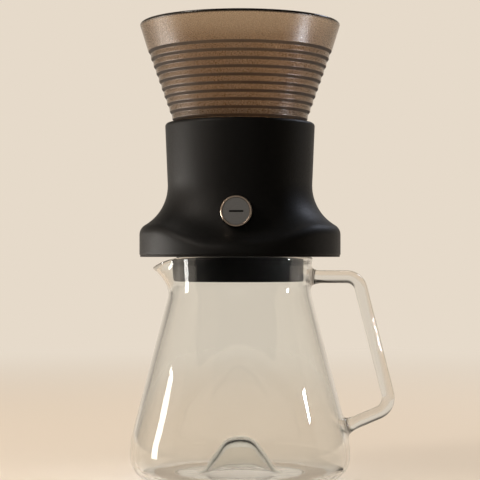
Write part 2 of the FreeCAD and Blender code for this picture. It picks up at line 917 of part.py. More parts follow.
def build_all():
    carafe = {
        "carafe_glass": carafe_glass(),
        "carafe_handle": carafe_handle(),
    }
    low_seal, high_seal = seal_heights()
    upper = {
        "housing_shell": housing_shell(),
        "base_plate": base_plate(),
        "base_screws": base_screws(),
        "rim_gasket": rim_gasket(),
        "cone_seat": cone_seat(),
        "cone_gasket": cone_gasket(),
        "valve_barrel": valve_barrel(),
        "valve_screws": valve_screws(),
        "port_seal_lower": port_seal(*low_seal),
        "port_seal_upper": port_seal(*high_seal),
        "stem_gland": stem_gland(),
        "gland_screws": gland_screws(),
        "drip_nozzle": drip_nozzle(),
        "valve_plug": valve_plug(),
        "plug_o_rings": plug_o_rings(),
        "valve_stem": valve_stem(),
        "knob_core": knob_core(),
        "knob_screw": knob_screw(),
        "knob_bezel": knob_bezel(),
        "knob_face": knob_face(),
        "knob_dash": dash_solid(),
        "brew_cone": brew_cone(),
        "outlet_o_ring": outlet_o_ring(),
        "filter_plate": filter_plate(),
    }
    for shape in upper.values():
        shape.translate(Vector(0, 0, carafe_height))
    return {**carafe, **upper}


def main():
    os.makedirs("parts", exist_ok=True)
    for name, shape in build_all().items():
        shape.exportStep(f"parts/{name}.step")
        print(name, len(shape.Solids), "solids", shape.isValid(), round(shape.Volume, 1), "mm3")


main()
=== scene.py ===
import json
import math

import bmesh
import bpy
from mathutils import Matrix, Vector


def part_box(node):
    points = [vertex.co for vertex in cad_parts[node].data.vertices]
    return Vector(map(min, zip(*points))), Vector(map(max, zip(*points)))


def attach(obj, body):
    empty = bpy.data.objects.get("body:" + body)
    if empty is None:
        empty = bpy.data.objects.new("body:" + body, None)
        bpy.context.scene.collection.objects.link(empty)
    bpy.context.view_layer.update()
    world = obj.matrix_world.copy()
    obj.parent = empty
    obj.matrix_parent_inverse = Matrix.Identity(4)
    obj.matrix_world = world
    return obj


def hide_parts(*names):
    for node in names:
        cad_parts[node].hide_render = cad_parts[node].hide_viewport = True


# Pour-over coffee dripper on its glass carafe. The knob faces -Y, the spout -X and the handle +X.
# Lengths are millimetres in the pieces' dictionaries and metres in the studio's. Heights are above the
# table, and angles are degrees.
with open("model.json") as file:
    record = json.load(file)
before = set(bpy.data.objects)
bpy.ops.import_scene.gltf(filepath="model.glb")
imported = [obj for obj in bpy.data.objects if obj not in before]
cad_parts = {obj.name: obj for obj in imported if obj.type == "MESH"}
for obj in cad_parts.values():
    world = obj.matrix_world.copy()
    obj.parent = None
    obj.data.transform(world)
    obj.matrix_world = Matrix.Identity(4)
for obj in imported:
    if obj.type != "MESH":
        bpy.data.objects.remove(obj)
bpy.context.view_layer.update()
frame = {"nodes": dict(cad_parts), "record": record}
mm = 0.001


def sin(angle):
    return math.sin(math.radians(angle))


def cos(angle):
    return math.cos(math.radians(angle))


def tan(angle):
    return math.tan(math.radians(angle))


def lowest(node):
    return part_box(node)[0] / mm


def highest(node):
    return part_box(node)[1] / mm


def easeBetween(value, start, end):
    share = min(1.0, max(0.0, (value - start) / (end - start)))
    return share * share * (3 - 2 * share)


def linear(text, alpha=1.0):
    # an sRGB hex colour as the linear one that the shaders take
    channels = []
    for i in (1, 3, 5):
        value = int(text[i:i + 2], 16) / 255
        channels.append(value / 12.92 if value <= 0.04045 else ((value + 0.055) / 1.055) ** 2.4)
    return (*channels, alpha)


# Materials

def addNode(tree, kind, settings=None, links=None):
    # settings are input names, input numbers or the node's own properties; links go to inputs
    node = tree.nodes.new("ShaderNode" + kind)
    for name, value in (settings or {}).items():
        if isinstance(name, int) or name in node.inputs:
            node.inputs[name].default_value = value
        else:
            setattr(node, name, value)
    for name, source in (links or {}).items():
        tree.links.new(source, node.inputs[name])
    return node


def startMaterial(name, settings):
    # a material with one Principled shader, and the object's own coordinates for its patterns
    material = bpy.data.materials.new(name)
    material.use_nodes = True
    tree = material.node_tree
    tree.nodes.clear()
    shader = addNode(tree, "BsdfPrincipled", settings)
    addNode(tree, "OutputMaterial", links={"Surface": shader.outputs["BSDF"]})
    place = addNode(tree, "TexCoord").outputs["Object"]
    return material, tree, shader, place


def outputOf(tree):
    return [node for node in tree.nodes if node.bl_idname == "ShaderNodeOutputMaterial"][0]


def grain(tree, place, size, detail=3.0, stretch=(1, 1, 1)):
    # even noise whose grains are about size across, drawn out by stretch
    scaled = addNode(tree, "VectorMath", {"operation": "DIVIDE", 1: stretch}, {0: place})
    settings = {"Scale": 1 / (size * mm), "Detail": detail, "Roughness": 0.6}
    return addNode(tree, "TexNoise", settings, {"Vector": scaled.outputs["Vector"]}).outputs["Fac"]


def ramp(tree, source, stops):
    # a colour ramp; each stop is a place from 0 to 1 and a colour
    node = addNode(tree, "ValToRGB", links={"Fac": source})
    while len(node.color_ramp.elements) < len(stops):
        node.color_ramp.elements.new(0.5)
    for element, (at, colour) in zip(node.color_ramp.elements, stops):
        element.position = at
        element.color = linear(colour) if isinstance(colour, str) else (colour, colour, colour, 1)
    return node.outputs["Color"]


def bump(tree, shader, height, depth):
    # raises the surface by depth where height is 1
    node = addNode(tree, "Bump", {"Strength": 1.0, "Distance": depth * mm}, {"Height": height})
    tree.links.new(node.outputs["Normal"], shader.inputs["Normal"])


def grained(name, settings, pattern, shades, depth, rough=None, relief=None):
    # a finish whose colour follows a pattern, and its roughness too where it has stops. Its bumps are
    # depth high and follow that pattern or one of their own
    material, tree, shader, place = startMaterial(name, settings)
    source = grain(tree, place, **pattern)
    tree.links.new(ramp(tree, source, shades), shader.inputs["Base Color"])
    if rough:
        tree.links.new(ramp(tree, source, rough), shader.inputs["Roughness"])
    bump(tree, shader, grain(tree, place, **relief) if relief else source, depth)
    return material


insideGlass = {"tint": "#8F8478", "density": 16.0, "bounces": 4, "givenBack": 0.5}


def borosilicateGlass():
    # Borosilicate glass, blown in a mould and fire-polished: clear, a little darker where it is seen
    # edge on, with soft waves drawn out upwards that break up the long reflections. The render drops
    # light after four inner reflections, so the glass gives back a share of it in the thick welds.
    material, tree, shader, place = startMaterial("borosilicateGlass", {
        "Base Color": linear("#FCFDFC"), "Roughness": 0.0, "IOR": 1.474, "Transmission Weight": 1.0,
        "Emission Color": linear("#CFC4B4")})
    waves = grain(tree, place, size=9.0, detail=1.0, stretch=(1, 1, 9))
    bump(tree, shader, waves, depth=0.1)
    deep = addNode(tree, "Math", {"operation": "GREATER_THAN", 1: insideGlass["bounces"] - 0.5},
                   {0: addNode(tree, "LightPath").outputs["Glossy Depth"]})
    kept = addNode(tree, "Math", {"operation": "MULTIPLY", 1: insideGlass["givenBack"]},
                   {0: deep.outputs["Value"]})
    tree.links.new(kept.outputs["Value"], shader.inputs["Emission Strength"])
    material.cycles.emission_sampling = "NONE"
    tintInside = addNode(tree, "VolumeAbsorption", {
        "Color": linear(insideGlass["tint"]), "Density": insideGlass["density"]})
    tree.links.new(tintInside.outputs["Volume"], outputOf(tree).inputs["Volume"])
    return material


def smokeCopolyester(lipHeight):
    # Smoke-tinted copolyester, moulded and etched outside to a satin: lets a blurred brown light
    # through and glitters where a highlight falls on the etching. The undersides of the terraces get a
    # painted shade and a rougher finish, and the polished lip gets a painted dark band for the shade
    # seen through its edge. The etching is drawn twice as coarse as real, so that it shows.
    material, tree, shader, place = startMaterial("smokeCopolyester", {
        "IOR": 1.56, "Transmission Weight": 0.93})
    etch = grain(tree, place, size=0.5)
    height = addNode(tree, "SeparateXYZ", links={0: place}).outputs["Z"]
    # painted shade: the mask for a dark band along the lip, the top 1.1 to 1.4 mm of the cone
    lip = addNode(tree, "MapRange", {"From Min": (lipHeight - 1.4) * mm, "From Max": (lipHeight - 1.1) * mm},
                  {"Value": height}).outputs["Result"]
    facing = addNode(tree, "SeparateXYZ", links={0: addNode(tree, "TexCoord").outputs["Normal"]})
    # painted shade: the mask for the terraces' undersides, the faces that look downwards
    paintedUndersideShade = addNode(tree, "MapRange", {"From Min": -0.38, "From Max": -0.56},
                    {"Value": facing.outputs["Z"]}).outputs["Result"]
    colour = ramp(tree, etch, [(0.3, "#B19980"), (0.7, "#BDA58B")])
    # painted shade: a darker brown on the undersides and a near-black band along the lip
    for where, shade in ((paintedUndersideShade, "#4F4136"), (lip, "#120F0D")):
        settings = {"data_type": "RGBA", 7: linear(shade)}
        colour = addNode(tree, "Mix", settings, {0: where, 6: colour}).outputs[2]
    tree.links.new(colour, shader.inputs["Base Color"])
    rough = ramp(tree, etch, [(0.3, 0.2), (0.72, 0.36)])
    for where, value in ((paintedUndersideShade, 0.8), (lip, 0.15)):
        rough = addNode(tree, "Mix", {"data_type": "FLOAT", 3: value}, {0: where, 2: rough}).outputs[0]
    tree.links.new(rough, shader.inputs["Roughness"])
    bump(tree, shader, etch, depth=0.03)
    return material


coneTop = highest("brew_cone").z
finishes = {
    "clear_glass": borosilicateGlass(),
    # Black polypropylene moulded in a spark-eroded tool: a fine even grain that spreads highlights
    # into a soft grey bloom and leaves the rest deep black. The grain is drawn three times its real size.
    "black_plastic": grained(
        "sparkErodedBlack", {"Roughness": 0.52, "IOR": 1.49, "Specular IOR Level": 0.35}, {"size": 0.8},
        [(0.35, "#070707"), (0.7, "#0C0C0C")], depth=0.08, rough=[(0.3, 0.44), (0.75, 0.62)]),
    "smoke_plastic": smokeCopolyester(coneTop),
    # Machined-smooth acetal, grey: slightly waxy, with fine level rings left by the turning.
    "grey_acetal": grained(
        "greyAcetal", {"Roughness": 0.36, "IOR": 1.48}, {"size": 7.0},
        [(0.3, "#4A4B4D"), (0.7, "#57585A")], depth=0.03,
        relief={"size": 0.7, "detail": 2.0, "stretch": (8, 8, 1)}),
    # Moulded silicone rubber: matte, a little paler than the plastic, with a faint bloom of dust.
    "silicone": grained(
        "blackSilicone", {"Roughness": 0.68, "IOR": 1.41, "Sheen Weight": 0.15, "Sheen Roughness": 0.5},
        {"size": 4.0, "detail": 4.0}, [(0.3, "#1B1B1D"), (0.7, "#26262A")], depth=0.02,
        relief={"size": 0.5, "detail": 2.0}),
    # Stainless steel 304, etched sheet and cold-headed screws: bright, with a faint rolled grain.
    "steel": grained(
        "stainlessSteel", {"Metallic": 1.0, "Roughness": 0.28}, {"size": 0.5, "stretch": (14, 1, 1)},
        [(0.3, "#B5B4B1"), (0.7, "#CFCECB")], depth=0.008, rough=[(0.3, 0.22), (0.75, 0.36)]),
    # Bead-blasted aluminium, anodised grey: satin, with a fine sparkle and no direction.
    "satin_grey_metal": grained(
        "blastedAluminium", {"Metallic": 1.0, "Roughness": 0.35}, {"size": 0.45},
        [(0.3, "#A6A4A1"), (0.7, "#B9B7B4")], depth=0.02),
    # Turned aluminium, anodised champagne: a warm bright edge with faint marks along the knob's axis.
    "champagne_metal": grained(
        "turnedAluminium", {"Metallic": 1.0, "Roughness": 0.3},
        {"size": 0.4, "detail": 2.0, "stretch": (1, 12, 1)}, [(0.3, "#CDB8A4"), (0.7, "#DDCBB8")],
        depth=0.004),
    # Black epoxy wiped into the groove of the knob: smooth, with dust in it.
    "dash_black": grained(
        "blackInfill", {"Roughness": 0.45, "IOR": 1.5}, {"size": 0.3, "detail": 2.0},
        [(0.4, "#050505"), (0.8, "#0C0B0B")], depth=0.02),
}
slotOf = {part["node"]: part["material_slot"] for part in frame["record"]["subparts"]}
bodyOf = {node: body for body, nodes in frame["record"]["behaviour"]["bodies"].items() for node in nodes}
for name, node in frame["nodes"].items():
    node.data.materials.clear()
    node.data.materials.append(finishes[slotOf[name]])
print("materials:", len(finishes))


# Making meshes

def roundedOutline(corners, arcStep=10.0, longest=3.0):
    # points (radius, height) along (radius, height, rounding) corners, with a point close beside each arc
    points = []
    for i, (r, z, rounding) in enumerate(corners):
        corner = Vector((r, z))
        if not rounding:
            points.append(corner)
            continue
        back = (Vector(corners[i - 1][:2]) - corner).normalized()
        on = (Vector(corners[(i + 1) % len(corners)][:2]) - corner).normalized()
        half = back.angle(on) / 2
        reach = rounding / math.tan(half)
        centre = corner + (back + on).normalized() * (rounding / math.sin(half))
        turn = math.pi - 2 * half
        steps = max(2, math.ceil(math.degrees(turn) / arcStep))
        start = corner + back * reach - centre
        end = corner + on * reach - centre
        side = math.copysign(1, start.x * end.y - start.y * end.x)
        beside = min(0.12 * rounding, 0.15)  # keeps the flat beside the arc flat when it is shaded
        points.append(corner + back * (reach + beside))
        for step in range(steps + 1):
            angle = side * turn * step / steps
            spin = Vector((start.x * math.cos(angle) - start.y * math.sin(angle),
                           start.x * math.sin(angle) + start.y * math.cos(angle)))
            points.append(centre + spin)
        points.append(corner + on * (reach + beside))
    filled = [points[0]]
    for point in points[1:]:
        gap = point - filled[-1]
        parts = max(1, math.ceil(gap.length / longest))
        first = filled[-1]
        filled += [first + gap * (k / parts) for k in range(1, parts + 1)]
    return [(point.x, point.y) for point in filled]


def turnOutline(outline, count, place, closed):
    # vertices and faces of an outline turned about an axis; a point on the axis becomes one vertex
    rows = []
    vertices = []
    for r, z in outline:
        if r < 1e-6:
            rows.append([len(vertices)] * count)
            vertices.append(place(0.0, z, 0.0))
        else:
            rows.append(list(range(len(vertices), len(vertices) + count)))
            vertices += [place(r, z, 360.0 * k / count) for k in range(count)]
    faces = []
    pairs = list(zip(rows, rows[1:])) + ([(rows[-1], rows[0])] if closed else [])
    for low, high in pairs:
        for k in range(count):
            n = (k + 1) % count
            face = []
            for corner in (low[k], low[n], high[n], high[k]):
                if corner not in face:
                    face.append(corner)
            if len(face) > 2:
                faces.append(face)
    return vertices, faces


def tubeFaces(rings, count):
    # the faces of a tube with closed ends, whose vertices lie ring by ring
    faces = []
    for i in range(rings - 1):
        for k in range(count):
            n = (k + 1) % count
            faces.append([i * count + k, i * count + n, (i + 1) * count + n, (i + 1) * count + k])
    faces.append(list(range(count)))
    faces.append([(rings - 1) * count + k for k in range(count)])
    return faces


def upright(r, z, angle):
    return Vector((r * cos(angle), r * sin(angle), z))


def atCorners(away, *height):
    # one point in all four corners about the stand's axis
    return [(x * away, y * away, *height) for x in (1, -1) for y in (1, -1)]


def makeMesh(name, vertices, faces):
    # a smooth closed mesh in metres, faces outwards
    mesh = bpy.data.meshes.new(name)
    mesh.from_pydata([vertex * mm for vertex in vertices], [], faces)
    work = bmesh.new()
    work.from_mesh(mesh)
    bmesh.ops.remove_doubles(work, verts=work.verts, dist=1e-7)
    bmesh.ops.recalc_face_normals(work, faces=work.faces)
    work.to_mesh(mesh)
    work.free()
    mesh.shade_smooth()
    return mesh


def addObject(name, mesh):
    made = bpy.data.objects.new(name, mesh)
    bpy.context.scene.collection.objects.link(made)
    return made


def addPiece(name, mesh, *nodes):
    # the piece takes the finish and the body of the CAD nodes that it stands for
    piece = addObject(name, mesh)
    mesh.materials.clear()
    mesh.materials.append(finishes[slotOf[nodes[0]]])
    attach(piece, bodyOf[nodes[0]])
    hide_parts(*nodes)
    print("piece:", name, len(mesh.polygons), "faces")
    return piece


def combined(name, first, second, operation):
    # union, difference or overlap of two meshes
    kept = addObject(name, first)
    tool = addObject(name + "Tool", second)
    change = kept.modifiers.new("combine", "BOOLEAN")
    change.operation = operation
    change.solver = "EXACT"
    change.object = tool
    result = bpy.data.meshes.new_from_object(kept.evaluated_get(bpy.context.evaluated_depsgraph_get()))
    bpy.data.objects.remove(kept)
    bpy.data.objects.remove(tool)
    result.shade_smooth()
    return result


# Glass carafe: body and handle are one piece of glass

glass = {
    "height": highest("carafe_glass").z, "belly": highest("carafe_glass").x, "bellyBreak": 20.8,
    "bellyBlend": 60.0, "footCorner": 13.0, "footRing": 37.0, "footRecess": 0.8, "footEdge": 0.7,
    "wallLean": 14.7, "rim": 42.0, "collarLean": 3.7, "neckBlend": 30.0, "wall": 2.6, "floor": 3.0,
    "rimBead": 0.25, "rimBeadLength": 1.3,
    "puntHeight": 24.0, "puntCrown": 13.0, "puntShoulder": 7.9, "puntFoot": 22.5, "puntFootBlend": 8.0,
    "spoutStart": 26.2, "spoutReach": 9.5, "spoutAngle": 31.0, "spoutDrop": 6.2, "spoutDip": 22.0,
    "spoutPower": 2.4, "dipPower": 2.1, "rimRounds": 24, "arcStep": 6, "rows": 84, "count": 240,
}


def wallRadius(z, inset):
    # radius of the round body at a height, moved in by inset: foot corner, belly, wall, neck, collar
    belly = glass["belly"] - inset
    lean, collarLean = glass["wallLean"], glass["collarLean"]
    breakAt = glass["bellyBreak"] + (inset - inset / cos(lean)) / tan(lean)
    collar = glass["rim"] - inset / cos(collarLean)
    gap = belly + breakAt * tan(lean) - collar + glass["height"] * tan(collarLean)
    neckAt = gap / (tan(lean) + tan(collarLean))
    neck = belly - (neckAt - breakAt) * tan(lean)
    bellyTurn = glass["bellyBlend"] - inset
    bellyReach = bellyTurn * tan(lean / 2)
    neckTurn = glass["neckBlend"] + inset
    neckReach = neckTurn * tan((lean + collarLean) / 2)
    low = neckAt - neckReach * cos(lean)
    if z < glass["footCorner"]:
        corner = glass["footCorner"] - glass["floor"] * inset / glass["wall"]
        return belly - corner + math.sqrt(max(0.0, corner ** 2 - (glass["footCorner"] - z) ** 2))
    if z < breakAt - bellyReach:
        return belly
    if z < breakAt + bellyReach * cos(lean):
        return belly - bellyTurn + math.sqrt(bellyTurn ** 2 - (z - breakAt + bellyReach) ** 2)
    if z < low:
        return belly - (z - breakAt) * tan(lean)
    if z < neckAt + neckReach * cos(collarLean):
        centre = neck + neckReach * sin(lean) + neckTurn * cos(lean)
        return centre - math.sqrt(neckTurn ** 2 - (z - low - neckTurn * sin(lean)) ** 2)
    return collar - (glass["height"] - z) * tan(collarLean)


def spoutBulge(z, angle):
    start = glass["height"] - glass["spoutStart"]
    rise = max(0.0, (z - start) / (glass["spoutStart"] - glass["spoutDrop"]))
    share = 1 - easeBetween(abs(angle - 180.0), 0.0, glass["spoutAngle"])
    return glass["spoutReach"] * rise ** glass["spoutPower"] * share


def rimDrop(angle):
    # how far the rim dips at an angle: it curls down towards the tip of the spout
    tip = glass["rim"] + glass["spoutReach"]
    drop = 0.0
    for _ in range(glass["rimRounds"]):
        z = glass["height"] - drop
        out = -(wallRadius(z, 0.0) + spoutBulge(z, angle)) * cos(angle)
        along = min(1.0, max(0.0, 1 - (tip - out) / glass["spoutDip"]))
        drop += (glass["spoutDrop"] * along ** glass["dipPower"] - drop) / 2
    return drop


def glassBody():
    wall, floor, corner = glass["wall"], glass["floor"], glass["footCorner"]
    height, ring, edge, step = glass["height"], glass["footRing"], glass["footEdge"], glass["arcStep"]
    slope = math.atan2(glass["puntHeight"] - floor, glass["puntFoot"] - glass["puntShoulder"])
    along = wall * math.tan(slope / 2)
    underside = roundedOutline([
        (0, glass["puntHeight"] - wall, 0),
        (glass["puntShoulder"] - along, glass["puntHeight"] - wall, glass["puntCrown"] - wall),
        (glass["puntFoot"] - along, glass["footRecess"], glass["puntFootBlend"] + wall),
        (ring - edge, glass["footRecess"], edge),
        (ring + edge, 0, edge),
        (glass["belly"] - corner, 0, 0)], step)
    bend = [(glass["belly"] - corner + corner * sin(a), corner - corner * cos(a))
            for a in range(step, 90, step)]
    lift = [corner + (height - corner - wall / 2) * i / glass["rows"] for i in range(glass["rows"] + 1)]
    outside = [(wallRadius(z, 0.0), z) for z in lift]
    lip = [(wallRadius(lift[-1], wall / 2) + wall / 2 * cos(a), lift[-1] + wall / 2 * sin(a))
           for a in range(3 * step, 180, 3 * step)]
    inside = [(wallRadius(z, wall), z) for z in reversed(lift)]
    inner = corner - floor
    innerBend = [(glass["belly"] - wall - inner + inner * sin(a), corner - inner * cos(a))
                 for a in range(90 - step, 0, -step)]
    top = roundedOutline([
        (glass["belly"] - wall - inner, floor, 0),
        (glass["puntFoot"], floor, glass["puntFootBlend"]),
        (glass["puntShoulder"], glass["puntHeight"], glass["puntCrown"]),
        (0, glass["puntHeight"], 0)], step)
    drops = {}

    def place(r, z, angle):
        if angle not in drops:
            drops[angle] = rimDrop(angle)
        lower = z - drops[angle] * easeBetween(z, height - glass["spoutStart"] - glass["spoutDrop"], height)
        shift = 0.0
        if z > height / 2:
            shift = wallRadius(lower, 0.0) - wallRadius(z, 0.0) + spoutBulge(lower, angle)
            bead = glass["rimBead"] * math.exp(-((height - wall / 2 - z) / glass["rimBeadLength"]) ** 2)
            shift += bead if r > wallRadius(z, wall / 2) else -bead
        return upright(r + shift, lower, angle)

    vertices, faces = turnOutline(underside + bend + outside + lip + inside + innerBend + top,
                                  glass["count"], place, False)
    return makeMesh("carafeBody", vertices, faces)


handle = {
    "rod": 3.7, "topBelowRim": 11.4, "reach": 27.0, "lean": 14.2, "lowCorner": 41.4, "lowWeld": 30.2,
    "topBend": 8.5, "lowBend": 9.5, "flare": 2.2, "flareLength": 6.5, "sag": 0.15, "ripple": 0.08,
    "into": 1.3, "fitLength": 9.0, "search": 20.0, "halvings": 30, "seamReach": 2.6, "seamGap": 0.02,
    "easings": 4, "count": 48,
}


def handlePath():
    # the rod's centre line in the XZ plane, from the top weld to the low one
    top = glass["height"] - handle["topBelowRim"]
    topWeld = Vector((wallRadius(top, 0.0), top))
    lowWeld = Vector((wallRadius(handle["lowWeld"], 0.0), handle["lowWeld"]))
    topCorner = topWeld + Vector((handle["reach"], 0))
    lowCorner = Vector((topCorner.x + (top - handle["lowCorner"]) * tan(handle["lean"]), handle["lowCorner"]))
    corners = [(*topWeld, 0), (*topCorner, handle["topBend"]), (*lowCorner, handle["lowBend"]), (*lowWeld, 0)]
    points = [Vector(point) for point in roundedOutline(corners, arcStep=4.0, longest=0.6)]
    return [p for i, p in enumerate(points) if i == 0 or (p - points[i - 1]).length > 1e-4]


def glassHandle():
    line = handlePath()
    gaps = [(b - a).length for a, b in zip(line, line[1:])]
    travelled = [sum(gaps[:i]) for i in range(len(line))]
    whole = travelled[-1]
    first, last = (line[1] - line[0]).normalized(), (line[-1] - line[-2]).normalized()
    line = [line[0] - first * handle["into"]] + line + [line[-1] + last * handle["into"]]
    travelled = [-handle["into"]] + travelled + [whole + handle["into"]]
    ends = ((line[1], first), (line[-2], -last))
    count = handle["count"]

    def wallAlong(start, out, side, up):
        # how far along the rod's end the glass wall lies, beside and above its axis
        lean = Vector((-out.y, out.x))
        low, high = -handle["search"], handle["search"]
        for _ in range(handle["halvings"]):
            reach = (low + high) / 2
            flat = start + out * reach + lean * up
            if math.hypot(flat.x, side) > wallRadius(flat.y, 0.0):
                high = reach
            else:
                low = reach
        return low

    vertices = []
    for i, point in enumerate(line):
        ahead = line[min(i + 1, len(line) - 1)]
        behind = line[max(i - 1, 0)]
        along = (ahead - behind).normalized()
        across = Vector((-along.y, along.x))
        nearEnd = 0 if travelled[i] < whole / 2 else 1
        weld, out = ends[nearEnd]
        away = travelled[i] if nearEnd == 0 else whole - travelled[i]
        for k in range(count):
            angle = 360.0 * k / count
            down = max(0.0, -sin(angle)) if nearEnd == 0 else max(0.0, sin(angle))
            heavy = 1 + handle["sag"] * down + handle["ripple"] * sin(3 * angle + 70 * nearEnd)
            share = min(1.0, max(0.0, away) / (handle["flareLength"] * heavy))
            grown = handle["rod"] + handle["flare"] * heavy * (1 - math.sqrt(1 - (1 - share) ** 2))
            side, up = grown * cos(angle), grown * sin(angle)
            flat = point + across * up
            fit = 1 - easeBetween(away, 0.0, handle["fitLength"])
            if fit > 0:
                lift = up if nearEnd == 0 else -up
                flat = flat + out * (wallAlong(weld, out, side, lift) * fit)
            vertices.append(Vector((flat.x, side, flat.y)))
    return makeMesh("carafeHandle", vertices, tubeFaces(len(line), count))


def fuseCarafe():
    # the handle melted onto the body, with the seams eased as flame-worked glass is
    fused = combined("carafe", glassBody(), glassHandle(), "UNION")
    line = handlePath()
    work = bmesh.new()
    work.from_mesh(fused)
    bmesh.ops.remove_doubles(work, verts=work.verts, dist=handle["seamGap"] * mm)
    seams = []
    for vertex in work.verts:
        place = vertex.co / mm
        outer = math.hypot(place.x, place.y) > wallRadius(place.z, glass["wall"] / 2)
        for end in (line[0], line[-1]):
            away = (place - Vector((end.x, 0, end.y))).length
            if outer and away < handle["seamReach"] * handle["rod"]:
                seams.append(vertex)
    for _ in range(handle["easings"]):
        bmesh.ops.smooth_vert(work, verts=seams, factor=0.5, use_axis_x=True, use_axis_y=True,
                              use_axis_z=True)
    work.to_mesh(fused)
    work.free()
    fused.shade_smooth()
    return fused


carafe = addPiece("carafe_body_and_handle", fuseCarafe(), "carafe_glass", "carafe_handle")
carafe.visible_shadow = False  # clear glass leaves the table under it lit


# Stand: the black housing with its waist and the scoop below the knob, and the plate under it

# the foot's own height is above the table, all the others are above the foot
stand = {
    "foot": highest("carafe_glass").z, "height": 77.5, "wall": 2.6, "roof": 3.0, "base": 58.2,
    "plateLip": 1.2, "lipInset": 0.4, "waist": 41.91, "waistAt": 41.3, "top": 43.46, "cove": 26.5,
    "ridge": 6.5, "topEdge": 2.0, "mouth": 38.66, "mouthEdge": 0.6, "lowEdge": 0.35, "roofEdge": 0.2,
    "scoop": 9.6, "scoopFlat": 10.0, "scoopEnd": 54.0, "scoopFull": 14.0, "scoopTop": 52.0,
    "boss": 4.0, "bossTop": 41.3, "pilot": 12.2, "pilotRadius": 1.55, "knobHole": 9.15, "holeDepth": 26.8,
    "creaseAngle": 40, "rows": 96, "holeCount": 96, "count": 216,
}


def housingProfile(height):
    # outer radius at a height above the stand's foot, leaving out the scoop
    coveCentre = stand["waist"] + stand["cove"]
    ridgeCentre = stand["base"] - stand["ridge"]
    apart = stand["cove"] + stand["ridge"]
    drop = math.sqrt(apart ** 2 - (coveCentre - ridgeCentre) ** 2)
    ridgeAt = stand["waistAt"] - drop
    lean = (stand["top"] - stand["waist"]) / (stand["height"] - stand["waistAt"])
    tangent = stand["waistAt"] + stand["cove"] * lean / math.sqrt(1 + lean ** 2)
    if height <= ridgeAt:
        return stand["base"]
    if height <= ridgeAt + drop * stand["ridge"] / apart:
        return ridgeCentre + math.sqrt(stand["ridge"] ** 2 - (height - ridgeAt) ** 2)
    curved = coveCentre - math.sqrt(stand["cove"] ** 2 - (min(height, tangent) - stand["waistAt"]) ** 2)
    return curved + max(0.0, height - tangent) * lean


def scoopShift(z, angle):
    # how far the scoop below the knob moves the wall in at a height above the table
    height = z - stand["foot"]
    offFront = abs((angle - 270.0 + 180.0) % 360.0 - 180.0)
    depth = stand["scoop"] * (1 - easeBetween(offFront, stand["scoopFlat"], stand["scoopEnd"]))
    share = 1 - easeBetween(height, stand["scoopFull"], stand["scoopTop"])
    return housingProfile(height + depth * share) - housingProfile(height)


def scooped(r, z, angle):
    return upright(r + scoopShift(z, angle), z, angle)


def column(radius, low, high, x, y, count=48):
    def place(r, z, angle):
        return upright(r, z, angle) + Vector((x, y, 0))

    outline = [(0, low), (radius, low), (radius, high), (0, high)]
    return makeMesh("column", *turnOutline(outline, count, place, False))


def housingShell():
    foot, wall = stand["foot"], stand["wall"]
    low, high, roof = foot + stand["plateLip"], foot + stand["height"], foot + stand["height"] - stand["roof"]
    edge, rows = stand["lowEdge"], stand["rows"]
    heights = [low + edge + (high - stand["topEdge"] - low - edge) * i / rows for i in range(rows + 1)]
    outer = [(stand["base"] - edge + edge * cos(a), low + edge - edge * sin(a)) for a in range(90, 0, -30)]
    outer += [(housingProfile(z - foot), z) for z in heights]
    top = roundedOutline([
        outer[-1] + (0,), (stand["top"], high, stand["topEdge"] - 0.01),
        (stand["mouth"], high, stand["mouthEdge"]), (stand["mouth"], roof, stand["roofEdge"]),
        (housingProfile(roof - foot) - wall, roof, 0)], arcStep=12.0)
    inner = [(housingProfile(z - foot) - wall, z) for z in reversed(heights) if z < roof - 0.5]
    inner.append((stand["base"] - wall, low))
    vertices, faces = turnOutline(outer + top[1:] + inner, stand["count"], scooped, True)
    shell = makeMesh("housing", vertices, faces)
    # the bosses are cut off within the wall by a solid that fills the housing
    filling = [(0, low + 1)] + [(housingProfile(z - foot) - wall / 2, z) for z in heights[2:-2]]
    vertices, faces = turnOutline(filling + [(0, heights[-3])], stand["holeCount"], scooped, False)
    places = atCorners(screwCircle("base_screws", baseScrew))
    for x, y in places:
        boss = column(stand["boss"], foot + plate["thickness"], foot + stand["bossTop"], x, y)
        within = combined("boss", boss, makeMesh("filling", vertices, faces), "INTERSECT")
        shell = combined("housing", shell, within, "UNION")
    for x, y in places:
        pilot = column(stand["pilotRadius"], foot, foot + stand["pilot"], x, y, 24)
        shell = combined("housing", shell, pilot, "DIFFERENCE")
    rear, front = stand["holeDepth"], stand["base"] + 1
    outline = [(0, rear), (stand["knobHole"], rear), (stand["knobHole"], front), (0, front)]
    hole = makeMesh("knobHole", *turnOutline(outline, stand["holeCount"], facingFront, False))
    shell = combined("housing", shell, hole, "DIFFERENCE")
    shell.set_sharp_from_angle(angle=math.radians(stand["creaseAngle"]))
    return shell


plate = {
    "bore": 6.48, "flange": 10.08, "flangeDepth": 1.2, "thickness": 3.6, "radius": 55.3, "groove": 43.9,
    "spigot": 36.8, "spigotWall": 2.4, "spigotEnd": lowest("base_plate").z, "grooveDepth": 1.4, "edge": 0.5,
    "headHole": 3.1, "headDepth": 2.1, "valveHole": 1.3, "valveDepth": 2.4, "count": 216,
}


